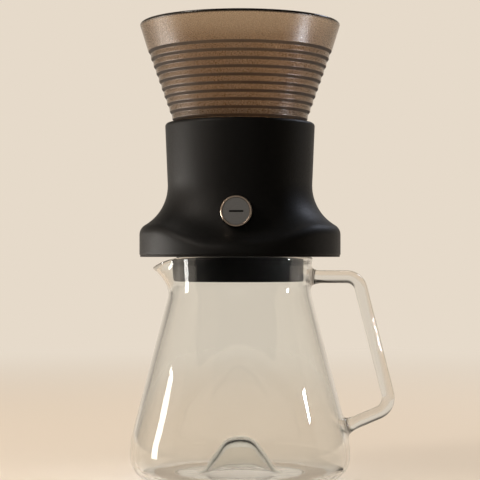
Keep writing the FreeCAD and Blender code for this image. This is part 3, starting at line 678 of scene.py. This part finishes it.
def basePlate():
    low, top = stand["foot"], stand["foot"] + plate["thickness"]
    lip = stand["base"] - stand["lipInset"]
    inner, end, edge = plate["spigot"] - plate["spigotWall"], plate["spigotEnd"], plate["edge"]
    flangeAt, lipTop = top - plate["flangeDepth"], low + stand["plateLip"]
    grooveTop = low + plate["grooveDepth"]
    corners = [
        (plate["bore"], low, 0.2), (plate["bore"], flangeAt, 0.05),
        (plate["flange"], flangeAt, 0.05), (plate["flange"], top, 0.1),
        (plate["radius"], top, 0.3), (plate["radius"], lipTop, 0.05),
        (lip, lipTop, 0.05), (lip, low, edge),
        (plate["groove"], low, 0.2), (plate["groove"], grooveTop, 0.05),
        (plate["spigot"], grooveTop, 0.05), (plate["spigot"], end, edge),
        (inner, end, edge), (inner, low, 0.8),
    ]
    outline = roundedOutline(corners, arcStep=18.0, longest=5.0)
    made = makeMesh("basePlate", *turnOutline(outline, plate["count"], upright, True))
    circle, near = screwCircle("base_screws", baseScrew), screwCircle("valve_screws", valveScrew)
    for x, y in atCorners(1):
        for radius, start, end, away in (
                (stand["pilotRadius"], low - 1, top + 1, circle),
                (plate["headHole"], low - 1, low + plate["headDepth"], circle),
                (plate["valveHole"], top - plate["valveDepth"], top + 1, near)):
            hole = column(radius, start, end, x * away, y * away, 32)
            made = combined("basePlate", made, hole, "DIFFERENCE")
    made.set_sharp_from_angle(angle=math.radians(stand["creaseAngle"]))
    return made


# Brewing cone, smoke plastic with ten terraces under a plain band

cone = {
    "rim": 58.2, "top": coneTop, "lean": 19.57, "wall": 2.4, "lip": 0.9,
    "band": 16.2, "ribs": 10, "pitch": 4.34, "face": 2.7, "step": 1.3, "ribRounding": 0.75, "hollow": 0.45,
    "seatRadius": 37.76, "seatAt": 199.4, "bottom": 171.13, "floor": 2.4, "floorFall": 0.7,
    "outlet": 4.5, "outletWall": 2.0, "spigotEnd": lowest("brew_cone").z, "ledge": 1.3, "ledgeAt": 4.6,
    "ringAt": 167.53, "ringSection": 0.7, "ringSqueeze": 0.08, "bottomEdge": 1.2, "count": 256,
}


def coneRadius(z):
    return cone["rim"] - (cone["top"] - z) * tan(cone["lean"])


def brewCone():
    top, step, pitch = cone["top"], cone["step"], cone["pitch"]
    floorTop = cone["bottom"] + cone["floor"]

    def innerAt(z):
        return coneRadius(z) - step / 2 - cone["wall"]

    ribs = []
    bandEnd = top - cone["band"]
    for i in range(cone["ribs"]):
        shelf = bandEnd - pitch * i
        outer = coneRadius(shelf) + step / 2
        ribs.append((outer, shelf, cone["ribRounding"]))
        ribs.append((outer - step, shelf - pitch + cone["face"], cone["hollow"]))
    below = bandEnd - pitch * cone["ribs"]
    nipple = cone["outlet"] + cone["outletWall"]
    groove = nipple - 2 * cone["ringSection"] + cone["ringSqueeze"]
    ringTop, ringLow = cone["ringAt"] + cone["ringSection"], cone["ringAt"] - cone["ringSection"]
    plateAt = floorTop + cone["ledgeAt"]
    corners = [
        (cone["rim"], top, cone["lip"])] + ribs + [
        (cone["seatRadius"], below, 0.2),
        (cone["seatRadius"], cone["seatAt"], 0.3),
        (coneRadius(cone["seatAt"]) - step / 2, cone["seatAt"], 0.2),
        (coneRadius(cone["bottom"]) - step / 2, cone["bottom"], cone["bottomEdge"]),
        (nipple, cone["bottom"], 0.3),
        (nipple, ringTop, 0.05),
        (groove, ringTop, 0.05),
        (groove, ringLow, 0.05),
        (nipple, ringLow, 0.05),
        (nipple, cone["spigotEnd"], 0.4),
        (cone["outlet"], cone["spigotEnd"], 0.3),
        (cone["outlet"], floorTop - cone["floorFall"], 0.5),
        (innerAt(floorTop) - cone["ledge"], floorTop, 0.8),
        (innerAt(plateAt) - cone["ledge"], plateAt, 0.2),
        (innerAt(plateAt), plateAt, 0.2),
        (innerAt(bandEnd), bandEnd, 6.0),
        (cone["rim"] - cone["wall"], top, cone["lip"]),
    ]
    outline = roundedOutline(corners, arcStep=15.0, longest=4.0)
    return makeMesh("brewCone", *turnOutline(outline, cone["count"], upright, True))


addPiece("brewing_cone", brewCone(), "brew_cone")


# Knob: turned about the valve's axis, which runs along Y

knob = {
    "height": (highest("knob_face").z + lowest("knob_face").z) / 2, "front": -lowest("knob_bezel").y,
    "radius": highest("knob_bezel").x, "rim": 1.15, "length": 3.8, "bevel": 0.3, "edge": 0.12,
    "recess": 0.3, "thickness": 1.2, "dash": 8.1, "dashWidth": 1.05, "dashDepth": 0.5, "dashDip": 0.08,
    "gap": 0.02, "creaseAngle": 35, "count": 128,
}


def facingFront(r, out, angle):
    return Vector((r * cos(angle), -out, knob["height"] + r * sin(angle)))


def knobBezel():
    back, inner = knob["front"] - knob["length"], knob["radius"] - knob["rim"]
    corners = [
        (inner, back, 0),
        (knob["radius"], back, knob["edge"]),
        (knob["radius"], knob["front"] - knob["bevel"], knob["edge"]),
        (knob["radius"] - knob["bevel"], knob["front"], knob["edge"]),
        (inner + knob["bevel"] / 2, knob["front"], knob["edge"]),
        (inner, knob["front"] - knob["bevel"] / 2, knob["edge"]),
    ]
    outline = roundedOutline(corners, arcStep=22.0)
    return makeMesh("knobBezel", *turnOutline(outline, knob["count"], facingFront, True))


def pillPrism(width, length, low, high, rounding):
    # a bar with round ends across the knob's face, its front edge rounded
    points = []
    for end in (1, -1):
        for a in range(-90, 91, 15):
            angle = a if end > 0 else a + 180
            points.append((end * (length - width) / 2, angle))
    rings = [(0.0, low), (0.0, high - rounding), (rounding * 0.3, high - rounding * 0.3), (rounding, high)]
    vertices = []
    for inset, out in rings:
        for x, angle in points:
            r = width / 2 - inset
            vertices.append(Vector((x + r * cos(angle), -out, knob["height"] + r * sin(angle))))
    return vertices, tubeFaces(len(rings), len(points))


def knobFace():
    front = knob["front"] - knob["recess"]
    outer = knob["radius"] - knob["rim"] - knob["gap"]
    corners = [(0, front - knob["thickness"], 0), (outer, front - knob["thickness"], 0),
               (outer, front, knob["edge"]), (0, front, 0)]
    outline = roundedOutline(corners, arcStep=30.0, longest=0.8)
    disc = makeMesh("knobFace", *turnOutline(outline, knob["count"], facingFront, False))
    groove = makeMesh("knobGroove", *pillPrism(knob["dashWidth"], knob["dash"], front - knob["dashDepth"],
                                               front + 1.0, rounding=0.0001))
    made = combined("knobFace", disc, groove, "DIFFERENCE")
    made.set_sharp_from_angle(angle=math.radians(knob["creaseAngle"]))
    return made


def knobDash():
    front, gap = knob["front"] - knob["recess"], knob["gap"]
    return makeMesh("knobDash", *pillPrism(knob["dashWidth"] - gap, knob["dash"] - gap,
                                           front - knob["dashDepth"] + gap / 2, front - knob["dashDip"],
                                           rounding=0.05))


bezel = addPiece("knob_bezel_ring", knobBezel(), "knob_bezel")
addPiece("knob_face_disc", knobFace(), "knob_face")
addPiece("knob_dash_fill", knobDash(), "knob_dash")


# Screws: cold-headed, with a cross recess and a real thread

baseScrew = {"radius": 1.5, "headRadius": 2.8, "head": 1.9, "length": 10.0, "pitch": 0.9}
valveScrew = {"radius": 1.25, "headRadius": 2.4, "head": 1.6, "length": 5.4, "pitch": 0.8}
glandScrew = {"radius": 1.0, "headRadius": 1.8, "head": 1.3, "length": 5.0, "pitch": 0.7}
knobScrew = {"radius": 1.25, "headRadius": 2.3, "head": 1.4, "length": 11.5, "pitch": 0.7}
# shares of the head's height or radius for head and recess, and of the pitch for the thread's depth
screwShape = {
    "side": 0.55, "crown": 0.8, "slot": 0.15, "reach": 0.62, "slotDepth": 0.7, "taper": 0.45,
    "threadDepth": 0.6, "rowsPerTurn": 6, "creaseAngle": 35, "count": 48,
}


def threadedShank(radius, low, high, pitch, count=24):
    # a shank from low to high whose thread is a helix of that pitch
    depth = screwShape["threadDepth"] * pitch
    rows = int((high - low) / (pitch / screwShape["rowsPerTurn"]))
    vertices = []
    for i in range(rows + 1):
        z = low + (high - low) * i / rows
        for k in range(count):
            phase = (z / pitch - k / count) % 1.0
            r = radius - depth * 2 * abs(phase - 0.5)
            if i == 0:
                r = radius - depth
            vertices.append(upright(r, z, 360.0 * k / count))
    return vertices, tubeFaces(rows + 1, count)


def crossHead(size):
    # a screw whose seat is at zero and whose head is above it, with a cross recess
    head, top = size["headRadius"], size["head"]
    corners = [(0, 0, 0), (head, 0, 0.15), (head, top * screwShape["side"], 0.3),
               (head * screwShape["crown"], top, 0.5), (0, top, 0)]
    outline = roundedOutline(corners, arcStep=20.0, longest=1.2)
    cap = makeMesh("screwHead", *turnOutline(outline, screwShape["count"], upright, False))
    narrow, wide = head * screwShape["slot"], head * screwShape["reach"]
    for across, along in ((narrow, wide), (wide, narrow)):
        corners = []
        for z, taper in ((top - top * screwShape["slotDepth"], screwShape["taper"]), (top + 0.5, 1.0)):
            for x, y in ((-1, -1), (1, -1), (1, 1), (-1, 1)):
                corners.append(Vector((x * across * (taper if across > along else 1),
                                       y * along * (taper if along > across else 1), z)))
        bar = makeMesh("recess", corners, ((3, 2, 1, 0), (4, 5, 6, 7), (0, 1, 5, 4), (1, 2, 6, 5),
                                           (2, 3, 7, 6), (3, 0, 4, 7)))
        cap = combined("screwHead", cap, bar, "DIFFERENCE")
    thread = makeMesh("screwThread", *threadedShank(size["radius"], -size["length"], 0.3, size["pitch"]))
    return combined("screw", cap, thread, "UNION")


def screwCircle(node, size):
    # how far screws in four corners stand from the stand's axis, along X and along Y
    return highest(node).x - size["headRadius"]


def screwGroup(name, node, size, places, axis):
    # equal screws in one mesh; each place is a head's seat, and the heads look along axis
    single = crossHead(size)
    turn = Vector(axis).to_track_quat("Z", "Y").to_matrix().to_4x4()
    work = bmesh.new()
    for place in places:
        one = single.copy()
        one.transform(Matrix.Translation(Vector(place) * mm) @ turn)
        work.from_mesh(one)
    mesh = bpy.data.meshes.new(name)
    work.to_mesh(mesh)
    work.free()
    mesh.shade_smooth()
    mesh.set_sharp_from_angle(angle=math.radians(screwShape["creaseAngle"]))
    return addPiece(name, mesh, node)


seat = lowest("base_screws").z + baseScrew["head"]
screwGroup("base_screws_cross", "base_screws", baseScrew,
           atCorners(screwCircle("base_screws", baseScrew), seat), (0, 0, -1))
seat = highest("valve_screws").z - valveScrew["head"]
screwGroup("valve_screws_cross", "valve_screws", valveScrew,
           atCorners(screwCircle("valve_screws", valveScrew), seat), (0, 0, 1))
# housing and plate have holes for the knob and the screws, so they come after their sizes
housing = addPiece("stand_housing", housingShell(), "housing_shell")
basePlatePiece = addPiece("stand_base_plate", basePlate(), "base_plate")
circle = highest("gland_screws").z - glandScrew["headRadius"] - knob["height"]
seat = lowest("gland_screws").y + glandScrew["head"]
screwGroup("gland_screws_cross", "gland_screws", glandScrew,
           [(circle * cos(a), seat, knob["height"] + circle * sin(a)) for a in (90, 210, 330)], (0, -1, 0))
seat = lowest("knob_screw").y + knobScrew["head"]
screwGroup("knob_screw_cross", "knob_screw", knobScrew, [(0, seat, knob["height"])], (0, -1, 0))


# Floor, light and camera

studio = {
    "floorRadius": 3.2, "floor": "#E8DDCE", "backdrop": "#E6DACA", "nearFloor": 0.25, "farFloor": 1.2,
    "fill": 0.8, "room": 0.28, "paperSide": 0.97, "roomFrom": 0.75, "paperTop": 0.2, "ceilingFrom": 0.55,
    "ceiling": 0.12,
}


def seenDirectly(tree):
    # 1 for camera, glossy and transmission rays, 0 for the rays that light the object
    path = addNode(tree, "LightPath")
    total = path.outputs["Is Camera Ray"]
    for kind in ("Is Glossy Ray", "Is Transmission Ray"):
        links = {0: total, 1: path.outputs[kind]}
        total = addNode(tree, "Math", {"operation": "MAXIMUM"}, links).outputs["Value"]
    return total


def inReflections(tree):
    # 1 for rays that have bounced off something shiny
    depth = addNode(tree, "LightPath").outputs["Glossy Depth"]
    return addNode(tree, "Math", {"operation": "GREATER_THAN", 1: 0.5}, {0: depth}).outputs["Value"]


def studioWorld():
    # pale paper to the camera; shiny surfaces find it darker overhead and beside the paper, as in a room
    world = bpy.data.worlds.new("studioWorld")
    bpy.context.scene.world = world
    world.use_nodes = True
    tree = world.node_tree
    tree.nodes.clear()
    path = addNode(tree, "LightPath")
    direction = addNode(tree, "TexCoord").outputs["Generated"]
    apart = addNode(tree, "SeparateXYZ", links={0: direction})
    overhead = addNode(tree, "MapRange", {
        "From Min": studio["paperTop"], "From Max": studio["ceilingFrom"], "To Min": 1.0,
        "To Max": studio["ceiling"], "interpolation_type": "SMOOTHSTEP"}, {"Value": apart.outputs["Z"]})
    beside = addNode(tree, "MapRange", {
        "From Min": studio["roomFrom"], "From Max": studio["paperSide"], "To Min": studio["room"],
        "To Max": 1.0}, {"Value": apart.outputs["Y"]})
    paper = addNode(tree, "Math", {"operation": "MAXIMUM"},
                    {0: overhead.outputs["Result"], 1: path.outputs["Is Camera Ray"]})
    dim = addNode(tree, "Mix", {"data_type": "FLOAT", 2: 1.0},
                  {0: inReflections(tree), 3: beside.outputs["Result"]})
    shown = addNode(tree, "Math", {"operation": "MULTIPLY"}, {0: paper.outputs["Value"], 1: dim.outputs[0]})
    strength = addNode(tree, "Mix", {"data_type": "FLOAT", 2: studio["fill"]},
                       {0: seenDirectly(tree), 3: shown.outputs["Value"]})
    sky = addNode(tree, "Background", {"Color": linear(studio["backdrop"])},
                  {"Strength": strength.outputs[0]})
    addNode(tree, "OutputWorld", links={"Surface": sky.outputs["Background"]})


def floorMaterial():
    # plain paper: shaded near the object, and in the backdrop's own colour far away
    material, tree, shader, place = startMaterial("paperFloor", {
        "Base Color": linear(studio["floor"]), "Roughness": 0.9})
    distance = addNode(tree, "VectorMath", {"operation": "LENGTH"}, {0: place}).outputs["Value"]
    far = addNode(tree, "MapRange", {"From Min": studio["nearFloor"], "From Max": studio["farFloor"],
                                     "interpolation_type": "SMOOTHSTEP"}, {"Value": distance})
    share = addNode(tree, "Math", {"operation": "MULTIPLY"},
                    {0: far.outputs["Result"], 1: seenDirectly(tree)})
    plain = addNode(tree, "Emission", {"Color": linear(studio["backdrop"])})
    mix = addNode(tree, "MixShader", None, {0: share.outputs["Value"], 1: shader.outputs["BSDF"],
                                            2: plain.outputs["Emission"]})
    tree.links.new(mix.outputs["Shader"], outputOf(tree).inputs["Surface"])
    return material


def aimed(place, target):
    return (Vector(target) - Vector(place)).to_track_quat("-Z", "Y").to_euler()


def around(azimuth, distance, height):
    # a place at an angle from +Y towards +X
    return Vector((distance * sin(azimuth), distance * cos(azimuth), height))


def softbox(name, azimuth, distance, height, size, colour, watts, aim):
    light = bpy.data.lights.new(name, "AREA")
    light.shape = "RECTANGLE"
    light.size, light.size_y = size
    light.color = linear(colour)[:3]
    light.energy = watts
    lamp = bpy.data.objects.new(name, light)
    lamp.location = around(azimuth, distance, height)
    lamp.rotation_euler = aimed(lamp.location, (0, 0, aim))
    lamp.visible_camera = False
    lamp.visible_transmission = False  # only the paper shows through the glass and the cone
    bpy.context.scene.collection.objects.link(lamp)
    return lamp


def keepOff(lamp, *objects):
    # the lamp lights everything but these objects
    kept = bpy.data.collections.new(lamp.name + "Skips")
    for one in objects:
        kept.objects.link(one)
    for entry in kept.collection_objects:
        entry.light_linking.link_state = "EXCLUDE"
    lamp.light_linking.receiver_collection = kept


flag = {"right": 90.0, "left": 252.0, "inner": 0.066, "outer": 1.3, "low": 0.0006, "high": 1.7, "steps": 36}


def frontFlag():
    # a curved wall of black velvet on the knob's side, and a cloth of it on the floor before the object,
    # which only take light out of reflections
    vertices = []
    for i in range(flag["steps"] + 1):
        azimuth = flag["right"] + (flag["left"] - flag["right"]) * i / flag["steps"]
        vertices += [around(azimuth, flag["inner"], flag["low"]), around(azimuth, flag["outer"], flag["low"]),
                     around(azimuth, flag["outer"], flag["high"])]
    faces = []
    for i in range(flag["steps"]):
        a, b = 3 * i, 3 * i + 3
        faces += [(a, a + 1, b + 1, b), (a + 1, a + 2, b + 2, b + 1)]
    mesh = bpy.data.meshes.new("blackFlag")
    mesh.from_pydata(vertices, [], faces)
    material, tree, shader = startMaterial("blackFlag", {
        "Base Color": linear("#020202"), "Roughness": 1.0, "Specular IOR Level": 0.0})[:3]
    clear = addNode(tree, "BsdfTransparent")
    mix = addNode(tree, "MixShader", None, {0: inReflections(tree), 1: clear.outputs["BSDF"],
                                            2: shader.outputs["BSDF"]})
    tree.links.new(mix.outputs["Shader"], outputOf(tree).inputs["Surface"])
    mesh.materials.append(material)
    wall = addObject("blackFlag", mesh)
    wall.visible_camera = wall.visible_diffuse = wall.visible_shadow = False
    return wall


def floorDisc():
    count = 128
    vertices = [around(360.0 * k / count, studio["floorRadius"], 0) for k in range(count)]
    mesh = bpy.data.meshes.new("floor")
    mesh.from_pydata(vertices, [], [list(range(count))])
    mesh.materials.append(floorMaterial())
    return addObject("floor", mesh)


# azimuth from +Y towards +X, distance from the axis, height, size, colour, watts, height aimed at
lampSettings = {
    "keyLight": (-106, 0.9, 0.5, (1.6, 0.9), "#FFE3C8", 1.7, 0.12),
    "coneLight": (-122, 0.7, 0.62, (0.2, 0.3), "#FFF6EC", 1.6, 0.23),
    "rimLight": (50, 1.0, 0.9, (0.2, 0.3), "#E8EEFF", 2.8, 0.12),
    "frontLight": (180, 1.05, 0.27, (0.6, 0.25), "#FFF8F0", 0.22, 0.12),
    "topLight": (-10, 0.5, 1.4, (0.9, 0.7), "#FFF6EC", 3.6, 0.12),
    "stripLight": (-92, 0.35, 0.074, (0.055, 0.148), "#FFFDF8", 0.35, 0.074),
    "sparkLight": (100, 0.34, 0.13, (0.02, 0.03), "#F4F7FF", 0.3, 0.22),
    "tableGlow": (-77, 0.5, 0.012, (0.25, 0.3), "#FFF8F0", 1.3, 0.24),
}
studioWorld()
floor = floorDisc()
frontFlag()
lamps = {name: softbox(name, *settings) for name, settings in lampSettings.items()}
# lamps close by, for the glass and the ribs, would burn out the floor and grey the black parts
keepOff(lamps["stripLight"], floor, basePlatePiece)
keepOff(lamps["sparkLight"], floor, housing, basePlatePiece, bezel)
keepOff(lamps["tableGlow"], floor, carafe)
keepOff(lamps["rimLight"], basePlatePiece)  # keeps the plate's thin edge dark

view = {"place": (0.0358, -0.8542, 0.128), "turn": (90.66, 0.0, 2.4), "lens": 110.55, "sensor": 36.0}
lens = bpy.data.cameras.new("camera")
lens.lens = view["lens"]
lens.sensor_width = view["sensor"]
camera = bpy.data.objects.new("camera", lens)
camera.location = view["place"]
camera.rotation_euler = [math.radians(angle) for angle in view["turn"]]
bpy.context.scene.collection.objects.link(camera)
bpy.context.scene.camera = camera
bpy.context.scene.view_settings.view_transform = "Standard"
print("studio: floor,", len(lamps), "lamps and the camera")
